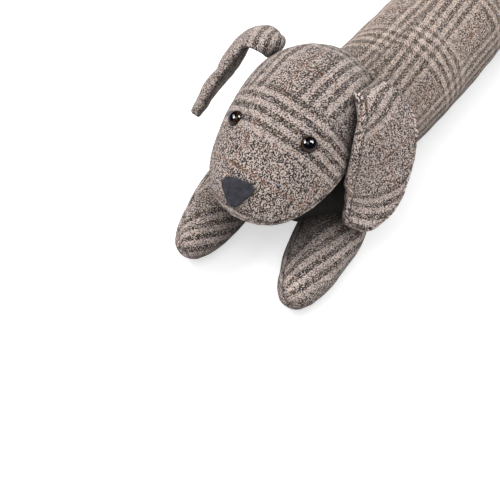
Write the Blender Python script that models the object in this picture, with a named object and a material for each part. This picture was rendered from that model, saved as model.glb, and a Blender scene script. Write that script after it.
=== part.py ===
"""Draught excluder in the form of a lying dog, sewn from check tweed and firmly stuffed.

Metres, +Z up. The body lies along X with the head at -X. The dog's left is -Y.
The origin is on the floor under the body's centre line, 450 mm ahead of the rump's end.
"""
import math

import bmesh
import bpy
from mathutils import Vector

# Whole object
HALF_LENGTH = 0.450
SEAM_GAP = 0.0004

# Body
BODY_RADIUS = 0.060
RUMP_RADIUS = 0.0635
BODY_WAIST = 0.0015
BODY_SAG = 0.0025
BODY_FRONT_X = -0.364
BODY_FRONT_CAP = 0.062
BODY_REAR_CAP = 0.072
RUMP_DROOP = 0.022
RUMP_DROOP_X = 0.320
BELLY_PRESS = 0.040
SPINE_GROOVE = 0.0018
CAP_ANGLE = 40.0
BODY_AROUND = 44
BODY_RINGS = 36

# Head, a pillow of two panels on a tilted seam plane
HEAD_CENTRE = Vector((-0.322, 0.012, 0.107))
HEAD_YAW = 8.0
HEAD_PITCH = 16.0
HEAD_ROLL = 6.0
HEAD_HALF_LENGTH = 0.0955
HEAD_HALF_WIDTH = 0.0665
HEAD_FORWARD = 0.004
HEAD_CROWN = 0.048
HEAD_CHEEK_LENS = 0.70
HEAD_CHIN = 0.044
HEAD_SQUARENESS = 2.3
HEAD_LIP = 0.0014
HEAD_AROUND = 44
HEAD_RINGS = 22

# Eyes and nose, placed along the head's own forward and left axes
EYE_DIAMETER = 0.0150
EYE_HEIGHT = 0.0062
EYE_FORWARD = 0.026
EYE_ASIDE = 0.037
NOSE_FORWARD = 0.085
NOSE_ASIDE = -0.006
NOSE_TURN = 0.0
NOSE_WIDTH = 0.030
NOSE_LENGTH = 0.0245
NOSE_FELT = 0.0020

# Ears, paws, hind legs and tail
EAR_THICKNESS = 0.0130
EAR_CAMBER = 0.0040
PAW_HEEL_WIDTH = 0.073
PAW_TOE_WIDTH = 0.047
PAW_HEIGHT = 0.049
PAW_SAG = 0.0020
HIND_WIDTH = 0.062
HIND_THICKNESS = 0.026
HIND_SAG = 0.0015
TAIL_THICKNESS = 0.0100

TWEED = (0.235, 0.190, 0.172)
FELT = (0.040, 0.040, 0.052)
AMBER = (0.070, 0.028, 0.012)


def clear_scene():
    """Remove the objects that a new file starts with."""
    for item in list(bpy.data.objects):
        bpy.data.objects.remove(item, do_unlink=True)


def make_collection(name):
    """Return a new collection linked to the scene."""
    collection = bpy.data.collections.new(name)
    bpy.context.scene.collection.children.link(collection)
    return collection


def make_material(name, colour, roughness, metallic=0.0):
    """Return a Principled material of one colour."""
    material = bpy.data.materials.new(name)
    material.use_nodes = True
    shader = material.node_tree.nodes["Principled BSDF"]
    shader.inputs["Base Color"].default_value = (*colour, 1.0)
    shader.inputs["Roughness"].default_value = roughness
    shader.inputs["Metallic"].default_value = metallic
    return material


def add_object(name, mesh, material, collection):
    """Link a mesh as a named, smooth shaded object."""
    mesh.materials.append(material)
    item = bpy.data.objects.new(name, mesh)
    collection.objects.link(item)
    mesh.shade_smooth()
    return item


def stuffed_mesh(name, shape, around, rings, grow=0.0):
    """Carry the points of a sphere primitive to a stuffed form, swollen by grow along its normals."""
    mesh = bpy.data.meshes.new(name)
    ball = bmesh.new()
    bmesh.ops.create_uvsphere(ball, u_segments=around, v_segments=rings, radius=1.0)
    for vert in ball.verts:
        vert.co = shape(vert.co.normalized())
    if ball.calc_volume(signed=True) < 0.0:
        bmesh.ops.reverse_faces(ball, faces=ball.faces)
    if grow:
        ball.normal_update()
        moved = [vert.co + vert.normal * grow for vert in ball.verts]
        for vert, place in zip(ball.verts, moved):
            vert.co = place
    ball.to_mesh(mesh)
    ball.free()
    return mesh


def crowded(angle, span, power):
    """Crowd equal steps of an angle within -span to span towards its zero."""
    share = min(abs(angle) / span, 1.0)
    return math.copysign(share ** power * span, angle)


def signed_power(value, power):
    """Raise a number's size to a power and keep its sign."""
    return math.copysign(abs(value) ** power, value)


def turned_axes(yaw, pitch, roll):
    """Forward, left and up axes of a part that faces -X, turned left, nose down, left side raised."""
    turn, tip, lean = (math.radians(angle) for angle in (yaw, pitch, roll))
    forward = Vector((-math.cos(turn) * math.cos(tip), -math.sin(turn) * math.cos(tip), -math.sin(tip)))
    level_left = Vector((math.sin(turn), -math.cos(turn), 0.0))
    level_up = forward.cross(level_left)
    left = level_left * math.cos(lean) + level_up * math.sin(lean)
    return forward, left, forward.cross(left)


HEAD_AXES = turned_axes(HEAD_YAW, HEAD_PITCH, HEAD_ROLL)


def head_place(ahead, aside, lift):
    """World place of a point given in the head's own axes."""
    forward, left, up = HEAD_AXES
    return HEAD_CENTRE + forward * ahead + left * aside + up * lift


def body_shape(unit):
    """Long tube with rounded ends, a sewn groove along its spine and a flat underside.

    The sphere's poles become the front and rear ends. Latitude runs along the tube, and
    longitude runs round it from the spine, with its steps crowded at the seam.
    """
    latitude = math.degrees(math.acos(max(-1.0, min(1.0, unit.z))))
    around = crowded(math.atan2(unit.y, unit.x), math.pi, 1.3)
    start = BODY_FRONT_X + BODY_FRONT_CAP
    stop = HALF_LENGTH - BODY_REAR_CAP
    if latitude < CAP_ANGLE:
        angle = math.radians(90.0 * latitude / CAP_ANGLE)
        along = start - BODY_FRONT_CAP * math.cos(angle)
        size = BODY_RADIUS * math.sin(angle) ** 0.9
    elif latitude > 180.0 - CAP_ANGLE:
        angle = math.radians(90.0 * (180.0 - latitude) / CAP_ANGLE)
        along = stop + BODY_REAR_CAP * math.cos(angle)
        size = RUMP_RADIUS * math.sin(angle) ** 0.95
    else:
        share = (latitude - CAP_ANGLE) / (180.0 - 2.0 * CAP_ANGLE)
        along = start + (stop - start) * share
        fatter = max(0.0, (share - 0.45) / 0.55)
        size = BODY_RADIUS + (RUMP_RADIUS - BODY_RADIUS) * fatter * fatter * (3.0 - 2.0 * fatter)
        size -= BODY_WAIST * math.sin(math.pi * share) ** 2
        size += 0.0007 * math.sin(37.0 * along) + 0.0005 * math.sin(71.0 * along + 1.0)
    if abs(around) < 0.01:
        size -= SPINE_GROOVE * min(1.0, size / BODY_RADIUS)
    centre = (BODY_RADIUS + (RUMP_RADIUS - BODY_RADIUS) * max(0.0, along / HALF_LENGTH)) - BODY_SAG
    centre -= RUMP_DROOP * max(0.0, (along - RUMP_DROOP_X) / (HALF_LENGTH - RUMP_DROOP_X)) ** 2
    pressed = 1.0 + BELLY_PRESS * max(0.0, -math.cos(around)) ** 2
    height = centre + size * pressed * math.cos(around)
    return Vector((along, -size * math.sin(around), max(0.0, height)))


def cheek_lens(turn):
    """Power that thins the crown beside the eyes and leaves it full at the muzzle and the back."""
    return 1.0 + HEAD_CHEEK_LENS * math.sin(turn) ** 2 * max(0.0, 0.35 + math.cos(turn))


def head_shape(unit):
    """Pillow of two crowned panels whose seam is a rounded oval with a thin raised lip.

    The sphere's equator becomes the seam, with the rings crowded beside it.
    """
    latitude = crowded(math.asin(max(-1.0, min(1.0, unit.z))), math.pi / 2.0, 1.45)
    turn = math.atan2(unit.y, unit.x)
    reach = math.cos(latitude)
    swell = 2.0 / HEAD_SQUARENESS
    ahead = HEAD_HALF_LENGTH * reach * signed_power(math.cos(turn), swell)
    aside = HEAD_HALF_WIDTH * reach * signed_power(math.sin(turn), swell)
    if abs(latitude) < 0.01:
        ahead *= 1.0 + HEAD_LIP / HEAD_HALF_LENGTH
        aside *= 1.0 + HEAD_LIP / HEAD_HALF_WIDTH
    lens = cheek_lens(turn)
    height = (HEAD_CROWN if latitude > 0.0 else HEAD_CHIN) * signed_power(math.sin(latitude), lens)
    return head_place(ahead + HEAD_FORWARD, aside, height)


def smooth_row(rows, share):
    """Row of a table at a share of its length, on a smooth curve through all its rows."""
    last = len(rows) - 1
    index = min(int(share * last), last - 1)
    part = share * last - index
    before, low, high, after = (rows[min(max(index + step, 0), last)] for step in (-1, 0, 1, 2))
    return [
        0.5 * (2.0 * b + (c - a) * part + (2.0 * a - 5.0 * b + 4.0 * c - d) * part ** 2
               + (3.0 * b - a - 3.0 * c + d) * part ** 3)
        for a, b, c, d in zip(before, low, high, after)
    ]


def flap_shape(stations, thickness, camber):
    """Shape function of a padded leaf flap from a table of its stations.

    The columns of a row are the centre's x, y and z, the width direction's x, y and z, and the
    width. The sphere's equator becomes the sewn edge and its poles the middles of both faces.
    """

    def shape(unit):
        latitude = crowded(math.asin(max(-1.0, min(1.0, unit.z))), math.pi / 2.0, 1.2)
        reach = math.cos(latitude)
        turn = math.atan2(unit.y, unit.x)
        lengthwise = reach * math.cos(turn)
        chord = math.sqrt(max(1.0 - lengthwise * lengthwise, 1e-9))
        across = reach * math.sin(turn) / chord
        along = 0.5 + 0.5 * lengthwise
        row = smooth_row(stations, along)
        ahead = smooth_row(stations, min(along + 0.02, 1.0))
        behind = smooth_row(stations, max(along - 0.02, 0.0))
        heading = (Vector(ahead[:3]) - Vector(behind[:3])).normalized()
        side = Vector(row[3:6])
        side = (side - heading * side.dot(heading)).normalized()
        face = side.cross(heading)
        rise = 0.5 * thickness * math.sin(latitude) - camber * across * across
        return Vector(row[:3]) + side * (0.5 * row[6] * across) + face * rise

    return shape


def loaf_shape(heel, toe):
    """Shape function of a stuffed loaf on the floor from heel to toe, both floor points.

    The sphere's poles become the heel and the toe, and the underside is pressed flat.
    """
    heel = Vector((*heel, 0.0))
    toe = Vector((*toe, 0.0))
    heading = (toe - heel).normalized()
    side = Vector((0.0, 0.0, 1.0)).cross(heading)
    length = (toe - heel).length

    def shape(unit):
        angle = math.acos(max(-1.0, min(1.0, unit.z)))
        along = 0.5 - 0.5 * signed_power(math.cos(angle), 0.75)
        around = math.atan2(unit.y, unit.x)
        girth = math.sin(angle) ** 0.62
        width = PAW_HEEL_WIDTH + (PAW_TOE_WIDTH - PAW_HEEL_WIDTH) * along
        spread = 0.5 * width * girth * signed_power(math.sin(around), 0.9)
        middle = 0.5 * PAW_HEIGHT - PAW_SAG
        rise = middle + (PAW_HEIGHT - middle) * girth * signed_power(math.cos(around), 0.9)
        place = heel + heading * (length * along) + side * spread
        return Vector((place.x, place.y, max(0.0, rise)))

    return shape


def hind_shape(side_sign):
    """Shape function of a hind leg, a padded teardrop on the floor beside the rump."""
    heel = Vector((0.384, side_sign * 0.050, 0.0))
    toe = Vector((0.257, side_sign * 0.078, 0.0))
    heading = (toe - heel).normalized()
    aside = Vector((0.0, 0.0, 1.0)).cross(heading)
    length = (toe - heel).length

    def shape(unit):
        latitude = crowded(math.asin(max(-1.0, min(1.0, unit.z))), math.pi / 2.0, 1.2)
        turn = math.atan2(unit.y, unit.x)
        reach = math.cos(latitude)
        along = 0.5 + 0.5 * reach * math.cos(turn)
        spread = 0.5 * HIND_WIDTH * reach * math.sin(turn) * (0.62 + 0.5 * along)
        rise = 0.5 * HIND_THICKNESS - HIND_SAG + 0.5 * HIND_THICKNESS * math.sin(latitude)
        place = heel + heading * (length * along) + aside * spread
        return Vector((place.x, place.y, max(0.0, rise)))

    return shape


# Each ear's stations from the head to the tip: centre x, y, z, width direction x, y, z, width
EAR_LEFT_STATIONS = (
    (-0.2593, -0.0214, 0.1314, 0.99, -0.13, -0.08, 0.025),
    (-0.2721, -0.0406, 0.1404, 0.96, -0.17, -0.24, 0.050),
    (-0.2830, -0.0571, 0.1252, 0.86, -0.35, -0.37, 0.073),
    (-0.2951, -0.0650, 0.1064, 0.81, -0.37, -0.45, 0.082),
    (-0.3064, -0.0696, 0.0869, 0.81, -0.41, -0.42, 0.077),
    (-0.3192, -0.0721, 0.0718, 0.78, -0.47, -0.41, 0.069),
    (-0.3330, -0.0708, 0.0624, 0.74, -0.55, -0.40, 0.050),
    (-0.3456, -0.0691, 0.0588, 0.73, -0.53, -0.44, 0.027),
    (-0.3506, -0.0692, 0.0584, 0.68, -0.58, -0.45, 0.007),
)
EAR_RIGHT_STATIONS = (
    (-0.2626, 0.0690, 0.1282, 0.95, -0.29, 0.15, 0.028),
    (-0.2634, 0.0820, 0.1339, 0.99, 0.04, -0.15, 0.035),
    (-0.2603, 0.0990, 0.1297, 0.88, 0.27, -0.38, 0.050),
    (-0.2641, 0.1129, 0.1155, 0.80, 0.36, -0.48, 0.063),
    (-0.2720, 0.1213, 0.0964, 0.72, 0.36, -0.59, 0.068),
    (-0.2807, 0.1263, 0.0810, 0.69, 0.36, -0.63, 0.067),
    (-0.2891, 0.1313, 0.0667, 0.67, 0.38, -0.64, 0.061),
    (-0.2989, 0.1359, 0.0539, 0.64, 0.40, -0.65, 0.048),
    (-0.3076, 0.1388, 0.0442, 0.64, 0.39, -0.67, 0.029),
    (-0.3142, 0.1396, 0.0405, 0.64, 0.37, -0.67, 0.012),
)
EAR_LEFT = flap_shape(EAR_LEFT_STATIONS, EAR_THICKNESS, EAR_CAMBER)
EAR_RIGHT = flap_shape(EAR_RIGHT_STATIONS, EAR_THICKNESS, EAR_CAMBER)

PAW_LEFT = loaf_shape(heel=(-0.298, -0.038), toe=(-0.429, -0.065))
PAW_RIGHT = loaf_shape(heel=(-0.306, 0.063), toe=(-0.441, 0.045))

# The tail's stations from the spine to its tip, with the ears' columns
TAIL_STATIONS = (
    (0.3720, 0.0010, 0.1180, 0.60, 0.00, 0.80, 0.024),
    (0.3560, 0.0050, 0.1350, 0.50, 0.00, 0.86, 0.034),
    (0.3340, 0.0120, 0.1450, 0.30, -0.05, 0.95, 0.035),
    (0.3070, 0.0200, 0.1490, 0.15, -0.10, 0.98, 0.030),
    (0.2790, 0.0250, 0.1460, 0.10, -0.10, 1.00, 0.012),
)
TAIL = flap_shape(TAIL_STATIONS, TAIL_THICKNESS, 0.0)


def add_boolean(item, cutter, operation):
    """Cut an object with another solid, or keep only what they share."""
    modifier = item.modifiers.new(f"{operation} {cutter.name}", "BOOLEAN")
    modifier.operation = operation
    modifier.solver = "EXACT"
    modifier.object = cutter


def make_cutter(name, shape, around, rings, grow, collection):
    """Return a hidden solid, swollen by grow, that clears a neighbour."""
    mesh = stuffed_mesh(name, shape, around, rings, grow)
    cutter = bpy.data.objects.new(name, mesh)
    collection.objects.link(cutter)
    cutter.hide_render = True
    cutter.display_type = "WIRE"
    return cutter


def head_surface(ahead, aside):
    """Place on the crowned top panel above a point of the seam plane."""
    across = (ahead - HEAD_FORWARD) / HEAD_HALF_LENGTH, aside / HEAD_HALF_WIDTH
    reach = sum(abs(part) ** HEAD_SQUARENESS for part in across) ** (1.0 / HEAD_SQUARENESS)
    turn = math.atan2(signed_power(across[1], 0.5 * HEAD_SQUARENESS),
                      signed_power(across[0], 0.5 * HEAD_SQUARENESS))
    lens = cheek_lens(turn)
    lift = HEAD_CROWN * max(0.0, 1.0 - reach * reach) ** (0.5 * lens)
    return head_place(ahead, aside, lift)


def head_slopes(ahead, aside):
    """Steps along the top panel for a unit ahead and for a unit aside."""
    step = 0.001
    along = head_surface(ahead + step, aside) - head_surface(ahead - step, aside)
    across = head_surface(ahead, aside + step) - head_surface(ahead, aside - step)
    return along / (2.0 * step), across / (2.0 * step)


def head_normal(ahead, aside):
    """Outward normal of the top panel."""
    along, across = head_slopes(ahead, aside)
    return along.cross(across).normalized()


def walk_on_head(ahead, aside, down, left, steps=6):
    """Point reached from a start by walking a way over the top panel."""
    for _ in range(steps):
        along, across = head_slopes(ahead, aside)
        ahead += down / steps / along.length
        aside += left / steps / across.length
    return ahead, aside


def make_eye(name, aside, collection, head_cutter):
    """Domed eye whose rim sits on the head's top panel."""
    seat = head_surface(EYE_FORWARD, aside)
    normal = head_normal(EYE_FORWARD, aside)
    turn = Vector((0.0, 0.0, 1.0)).rotation_difference(normal).to_matrix()

    def shape(unit):
        local = Vector((unit.x, unit.y, 0.0)) * (0.5 * EYE_DIAMETER)
        local.z = EYE_HEIGHT * unit.z if unit.z > 0.0 else 0.5 * EYE_HEIGHT * unit.z
        return seat + turn @ local

    amber = make_material(f"{name} amber", AMBER, 0.10)
    item = add_object(name, stuffed_mesh(name, shape, 18, 10), amber, collection)
    add_boolean(item, head_cutter, "DIFFERENCE")


def nose_shape(unit):
    """Patch of felt in the form of a rounded triangle that follows the muzzle, point downwards.

    The sphere's equator becomes the cut edge, and both faces keep the felt's thickness apart.
    """
    latitude = math.asin(max(-1.0, min(1.0, unit.z)))
    turn = math.atan2(unit.y, unit.x)
    reach = math.cos(latitude) ** 0.4
    lobes = 1.0 + 0.19 * math.cos(3.0 * turn) + 0.02 * math.cos(6.0 * turn)
    turn += math.radians(NOSE_TURN)
    down = 0.5 * NOSE_LENGTH * reach * lobes * math.cos(turn)
    left = 0.5 * NOSE_WIDTH * reach * lobes * math.sin(turn)
    ahead, aside = walk_on_head(NOSE_FORWARD, NOSE_ASIDE, down, left)
    lift = SEAM_GAP + 0.5 * NOSE_FELT * (1.0 + signed_power(math.sin(latitude), 0.4))
    return head_surface(ahead, aside) + head_normal(ahead, aside) * lift


def build():
    """Make every piece of the draught excluder."""
    clear_scene()
    parts = make_collection("draught excluder")
    cutters = make_collection("cutters")

    def sewn(name, shape, around, rings, *cutting):
        """Add a tweed piece that clears the pieces it is sewn to."""
        tweed = make_material(f"{name} check tweed", TWEED, 0.95)
        item = add_object(name, stuffed_mesh(name, shape, around, rings), tweed, parts)
        for cutter in cutting:
            add_boolean(item, cutter, "DIFFERENCE")

    head_cutter = make_cutter("head clearance", head_shape, HEAD_AROUND, HEAD_RINGS, SEAM_GAP, cutters)
    body_cutter = make_cutter("body clearance", body_shape, BODY_AROUND, BODY_RINGS, SEAM_GAP, cutters)
    sewn("body", body_shape, BODY_AROUND, BODY_RINGS, head_cutter)
    sewn("head", head_shape, HEAD_AROUND, HEAD_RINGS)
    sewn("ear_left", EAR_LEFT, 32, 12, head_cutter, body_cutter)
    sewn("ear_right", EAR_RIGHT, 32, 12, head_cutter, body_cutter)
    sewn("paw_left", PAW_LEFT, 24, 16, body_cutter, head_cutter)
    sewn("paw_right", PAW_RIGHT, 24, 16, body_cutter, head_cutter)
    sewn("hind_leg_left", hind_shape(-1.0), 28, 12, body_cutter)
    sewn("hind_leg_right", hind_shape(1.0), 28, 12, body_cutter)
    sewn("tail", TAIL, 28, 12, body_cutter)
    make_eye("eye_left", EYE_ASIDE, parts, head_cutter)
    make_eye("eye_right", -EYE_ASIDE, parts, head_cutter)
    felt = make_material("nose black felt", FELT, 0.95)
    add_object("nose", stuffed_mesh("nose", nose_shape, 30, 10), felt, parts)


build()
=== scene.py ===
"""Looks of a draught excluder in the form of a lying dog, sewn from check tweed and firmly stuffed.

Every piece is built from its cut panels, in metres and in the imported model's frame. The body lies
along X with the head at -X, and the dog's left is -Y. Each panel carries its place on the flat
cloth as a UV map in metres, so that the woven check runs over it as it does over the real panel.
"""
import logging
import math
from collections.abc import Callable
from dataclasses import dataclass, field
from enum import Enum

import bmesh
import bpy
import numpy as np
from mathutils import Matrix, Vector


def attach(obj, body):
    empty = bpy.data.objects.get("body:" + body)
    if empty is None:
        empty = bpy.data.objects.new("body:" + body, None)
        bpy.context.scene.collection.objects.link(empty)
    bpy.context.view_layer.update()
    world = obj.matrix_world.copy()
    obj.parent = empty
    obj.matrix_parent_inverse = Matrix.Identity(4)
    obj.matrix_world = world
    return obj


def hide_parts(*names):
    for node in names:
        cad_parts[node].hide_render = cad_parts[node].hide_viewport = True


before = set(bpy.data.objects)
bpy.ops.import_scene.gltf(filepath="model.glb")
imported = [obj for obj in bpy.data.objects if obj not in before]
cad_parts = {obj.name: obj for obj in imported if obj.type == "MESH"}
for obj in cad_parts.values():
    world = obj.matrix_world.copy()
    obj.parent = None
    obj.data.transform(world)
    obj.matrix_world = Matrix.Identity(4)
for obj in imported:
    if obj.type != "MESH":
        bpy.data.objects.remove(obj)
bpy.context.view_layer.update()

LOG = logging.getLogger("draught excluder")

Array = np.ndarray
Colour = tuple[float, float, float, float]
Point = tuple[float, float, float]

# The check, in metres and threads: eight bands of eight threads make a group in each repeat
THREAD = 0.000675
BAND_THREADS = 8
GROUP_THREADS = 8 * BAND_THREADS
REPEAT_ALONG = 152
REPEAT_ACROSS = 104

# Edge points of panels this close, in metres, are sewn to one
WELD = 2e-5
HALF_TURN = math.pi
UP = np.array([0.0, 0.0, 1.0])

# Groups of bands that a cut can have
NO_BANDS = (0.0, 0.0)
CROSSWISE = (1.0, 0.0)
LENGTHWISE = (0.0, 1.0)
ALL_BANDS = (1.0, 1.0)


class Side(Enum):
    """Side of the dog, with the sign of its Y axis."""

    LEFT = -1.0
    RIGHT = 1.0


class Face(Enum):
    """Face of a flap or pillow, with the sign of its rise."""

    TOP = 1.0
    UNDER = -1.0


# Arrays of points


def signed_power(value: Array, power: float | Array) -> Array:
    """Raise the size of each number to a power and keep its sign."""
    return np.sign(value) * np.abs(value) ** power


def smooth_step(value: Array, low: float, high: float) -> Array:
    """Rise smoothly from 0 at low to 1 at high: 3s^2 - 2s^3 of the clipped share s."""
    share = np.clip((value - low) / (high - low), 0.0, 1.0)
    return share * share * (3.0 - 2.0 * share)


def bell(distance: Array, width: float) -> Array:
    """Fall from 1 with distance as exp(-(distance / width)^2)."""
    return np.exp(-((distance / width) ** 2))


def unit(vectors: Array) -> Array:
    """Scale each vector to length 1, and leave zero vectors at zero."""
    length = np.linalg.norm(vectors, axis=-1, keepdims=True)
    return vectors / np.maximum(length, 1e-12)


def arc_length(points: Array, axis: int) -> Array:
    """Running length of the polylines of a grid along one axis, from 0."""
    steps = np.linalg.norm(np.diff(points, axis=axis), axis=-1)
    start = np.zeros_like(np.take(steps, [0], axis=axis))
    return np.concatenate([start, np.cumsum(steps, axis=axis)], axis=axis)


def grid_normals(points: Array) -> Array:
    """Normals of a grid: the cross product of its two slopes, with poles taken from their next row.

    Args:
        points: Grid of points, shaped (rows, columns, 3).

    Returns:
        Unit normals of the same shape.
    """
    normals = unit(np.cross(np.gradient(points, axis=0), np.gradient(points, axis=1)))
    for edge, inner in ((0, 1), (-1, -2)):
        if np.ptp(points[edge], axis=0).max() < 1e-6:
            normals[edge] = unit(normals[inner].mean(axis=0))
        if np.ptp(points[:, edge], axis=0).max() < 1e-6:
            normals[:, edge] = unit(normals[:, inner].mean(axis=0))
    return normals


def soft_waves(points: Array, wavelength: float, seed: int, count: int = 9) -> Array:
    """Smooth unevenness between about -1 and 1: a mean of sine waves in seeded directions.

    Args:
        points: Points, shaped (..., 3).
        wavelength: Length of one wave in metres.
        seed: Seed of the directions and phases.
        count: Number of waves.

    Returns:
        One value for each point.
    """
    draw = np.random.default_rng(seed)
    heading = unit(draw.normal(size=(count, 3))) * draw.uniform(0.75, 1.35, size=(count, 1))
    phase = draw.uniform(0.0, 2.0 * HALF_TURN, size=count)
    waves = np.sin(points @ heading.T * (2.0 * HALF_TURN / wavelength) + phase)
    return waves.sum(axis=-1) / math.sqrt(count)


def smooth_rows(table: Array, share: Array) -> Array:
    """Rows of a table at shares of its length, on a Catmull-Rom curve through all its rows.

    Args:
        table: Stations, shaped (stations, columns).
        share: Shares from 0 to 1.

    Returns:
        Array of the share's shape with the table's columns added.
    """
    last = len(table) - 1
    index = np.clip((share * last).astype(int), 0, last - 1)
    part = (share * last - index)[..., None]
    a, b, c, d = (table[np.clip(index + step, 0, last)] for step in (-1, 0, 1, 2))
    return 0.5 * (2.0 * b + (c - a) * part + (2.0 * a - 5.0 * b + 4.0 * c - d) * part ** 2
                  + (3.0 * b - a - 3.0 * c + d) * part ** 3)


def meridians(rows: int, power: float, columns: int) -> tuple[Array, Array]:
    """Latitudes from a seam to a pole, closer at the seam, and turns that close on themselves.

    Args:
        rows: Rows from the seam to the pole.
        power: How much closer the rows are at the seam.
        columns: Columns round the pole.

    Returns:
        Grids of latitudes and turns in radians.
    """
    steps = 0.5 * HALF_TURN * np.linspace(0.0, 1.0, rows) ** power
    latitude, turn = np.meshgrid(steps, np.linspace(-HALF_TURN, HALF_TURN, columns), indexing="ij")
    turn[:, -1] = turn[:, 0]
    return latitude, turn


def quads_of(rows: int, columns: int) -> Array:
    """Corner numbers of the four-sided faces of a grid."""
    index = np.arange(rows * columns).reshape(rows, columns)
    return np.stack([index[:-1, :-1], index[1:, :-1], index[1:, 1:], index[:-1, 1:]],
                    axis=-1).reshape(-1, 4)


def turned_axes(yaw: float, pitch: float, roll: float) -> tuple[Array, Array, Array]:
    """Axes of a part that faces -X, turned left, tipped nose down and with its left side raised.

    Args:
        yaw: Turn to the left, in degrees.
        pitch: Tip of the nose downwards, in degrees.
        roll: Rise of the left side, in degrees.

    Returns:
        Forward, left and up unit vectors.
    """
    turn, tip, lean = np.radians([yaw, pitch, roll])
    forward = np.array([-np.cos(turn) * np.cos(tip), -np.sin(turn) * np.cos(tip), -np.sin(tip)])
    level_left = np.array([np.sin(turn), -np.cos(turn), 0.0])
    level_up = np.cross(forward, level_left)
    left = level_left * np.cos(lean) + level_up * np.sin(lean)
    return forward, left, np.cross(forward, left)


# Cloth, panels and sewing


@dataclass(frozen=True)
class Lay:
    """How a panel was cut from the check: where two groups of bands cross, and its turn.

    The bands are 1 or 0 for crosswise and for lengthwise groups that the cut has or misses.
    """

    along: float
    across: float
    turn: float = 0.0
    mirror: bool = False
    stretch: float = 1.0
    bands: tuple[float, float] = ALL_BANDS

    def on_cloth(self, flat: Array) -> Array:
        """Carry flat panel coordinates to the cloth's own, turned about the crossing.

        Args:
            flat: Panel coordinates in metres, shaped (..., 2).

        Returns:
            Cloth coordinates in metres, with the crossing in the middle of both groups.
        """
        angle = math.radians(self.turn)
        along = flat[..., 0] - self.along
        across = (flat[..., 1] - self.across) * (-1.0 if self.mirror else 1.0)
        turned = np.stack([along * math.cos(angle) - across * math.sin(angle),
                           along * math.sin(angle) + across * math.cos(angle)], axis=-1)
        return turned / self.stretch + 0.5 * GROUP_THREADS * THREAD


@dataclass
class Panel:
    """One cut panel: points, their places on the cloth, nearness to a seam, and bands kept."""

    points: Array
    cloth: Array
    seam: Array
    bands: Array | tuple[float, float] = ALL_BANDS


@dataclass(frozen=True)
class Seam:
    """Turned seam: a narrow valley with the cloth puckered beside it."""

    depth: float = 0.0016
    width: float = 0.0018
    pucker: float = 0.00045
    pucker_length: float = 0.013
    pucker_reach: float = 0.010
    lumps: float = 0.0007
    lump_length: float = 0.070

    def press(self, points: Array, distance: Array, run: Array, inward: Array, seed: int,
              calm: Array | float = 1.0) -> Array:
        """Give a stuffed panel its seam valley, its puckers and its slight lumps.

        The valley is depth * exp(-(distance / width)^2) along inward. The puckers are sine waves
        along the seam that fade with distance, and the lumps fade out towards the seam, so that
        two panels still meet in one line.

        Args:
            points: Grid of points.
            distance: Distance of each point from the nearest seam, in metres.
            run: Distance along the seam, in metres.
            inward: Unit vectors that point into the stuffing and agree on both panels.
            seed: Seed of the lumps.
            calm: Share of the lumps and puckers that is kept.

        Returns:
            Grid of moved points.
        """
        normals = grid_normals(points)
        outward = -np.sign((normals * inward).sum(axis=-1, keepdims=True))
        outward[outward == 0.0] = 1.0
        ripple = np.sin(2.0 * HALF_TURN * run / self.pucker_length + 2.2 * np.sin(run / 0.031))
        puckers = self.pucker * ripple * np.exp(-distance / self.pucker_reach)
        puckers = puckers * (1.0 - bell(distance, 0.0022))
        lumps = self.lumps * (soft_waves(points, self.lump_length, seed)
                              + 0.45 * soft_waves(points, 0.38 * self.lump_length, seed + 1))
        lumps = lumps * (1.0 - bell(distance, 0.008))
        moved = points + normals * outward * ((puckers + lumps) * calm)[..., None]
        return moved + inward * (self.depth * bell(distance, self.width))[..., None]


def sew(name: str, panels: list[Panel], finish: bpy.types.Material) -> bpy.types.Object:
    """Join panels along their edges into one closed, smooth piece.

    Args:
        name: Name of the piece.
        panels: Panels whose edges share their points.
        finish: Material of the piece.

    Returns:
        The object, with the UV map "cloth" and the attributes "seam" and "bands".
    """
    places, faces, corners, start = [], [], [], 0
    for panel in panels:
        quads = quads_of(*panel.seam.shape)
        places.append(panel.points.reshape(-1, 3))
        faces.append(quads + start)
        corners.append(panel.cloth.reshape(-1, 2)[quads].reshape(-1, 2))
        start += panel.seam.size
    mesh = bpy.data.meshes.new(name)
    mesh.from_pydata(np.concatenate(places).tolist(), [], np.concatenate(faces).tolist())
    mesh.uv_layers.new(name="cloth").data.foreach_set(
        "uv", np.concatenate(corners).astype(np.float32).ravel())
    nearness = np.concatenate([panel.seam.ravel() for panel in panels]).astype(np.float32)
    mesh.attributes.new("seam", "FLOAT", "POINT").data.foreach_set("value", nearness)
    bands = np.zeros((start, 3), np.float32)
    bands[:, :2] = np.concatenate([
        np.broadcast_to(panel.bands, (*panel.seam.shape, 2)).reshape(-1, 2) for panel in panels])
    mesh.attributes.new("bands", "FLOAT_VECTOR", "POINT").data.foreach_set("vector", bands.ravel())
    shell = bmesh.new()
    shell.from_mesh(mesh)
    bmesh.ops.remove_doubles(shell, verts=shell.verts, dist=WELD)
    bmesh.ops.recalc_face_normals(shell, faces=shell.faces)
    if shell.calc_volume(signed=True) < 0.0:
        bmesh.ops.reverse_faces(shell, faces=shell.faces)
    shell.to_mesh(mesh)
    shell.free()
    mesh.shade_smooth()
    mesh.materials.append(finish)
    piece = bpy.data.objects.new(name, mesh)
    bpy.context.scene.collection.objects.link(piece)
    return piece


def mesh_points(mesh: bpy.types.Mesh) -> Array:
    """Vertices of a mesh as an array."""
    points = np.empty(len(mesh.vertices) * 3, np.float32)
    mesh.vertices.foreach_get("co", points)
    return points.reshape(-1, 3).astype(float)


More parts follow.
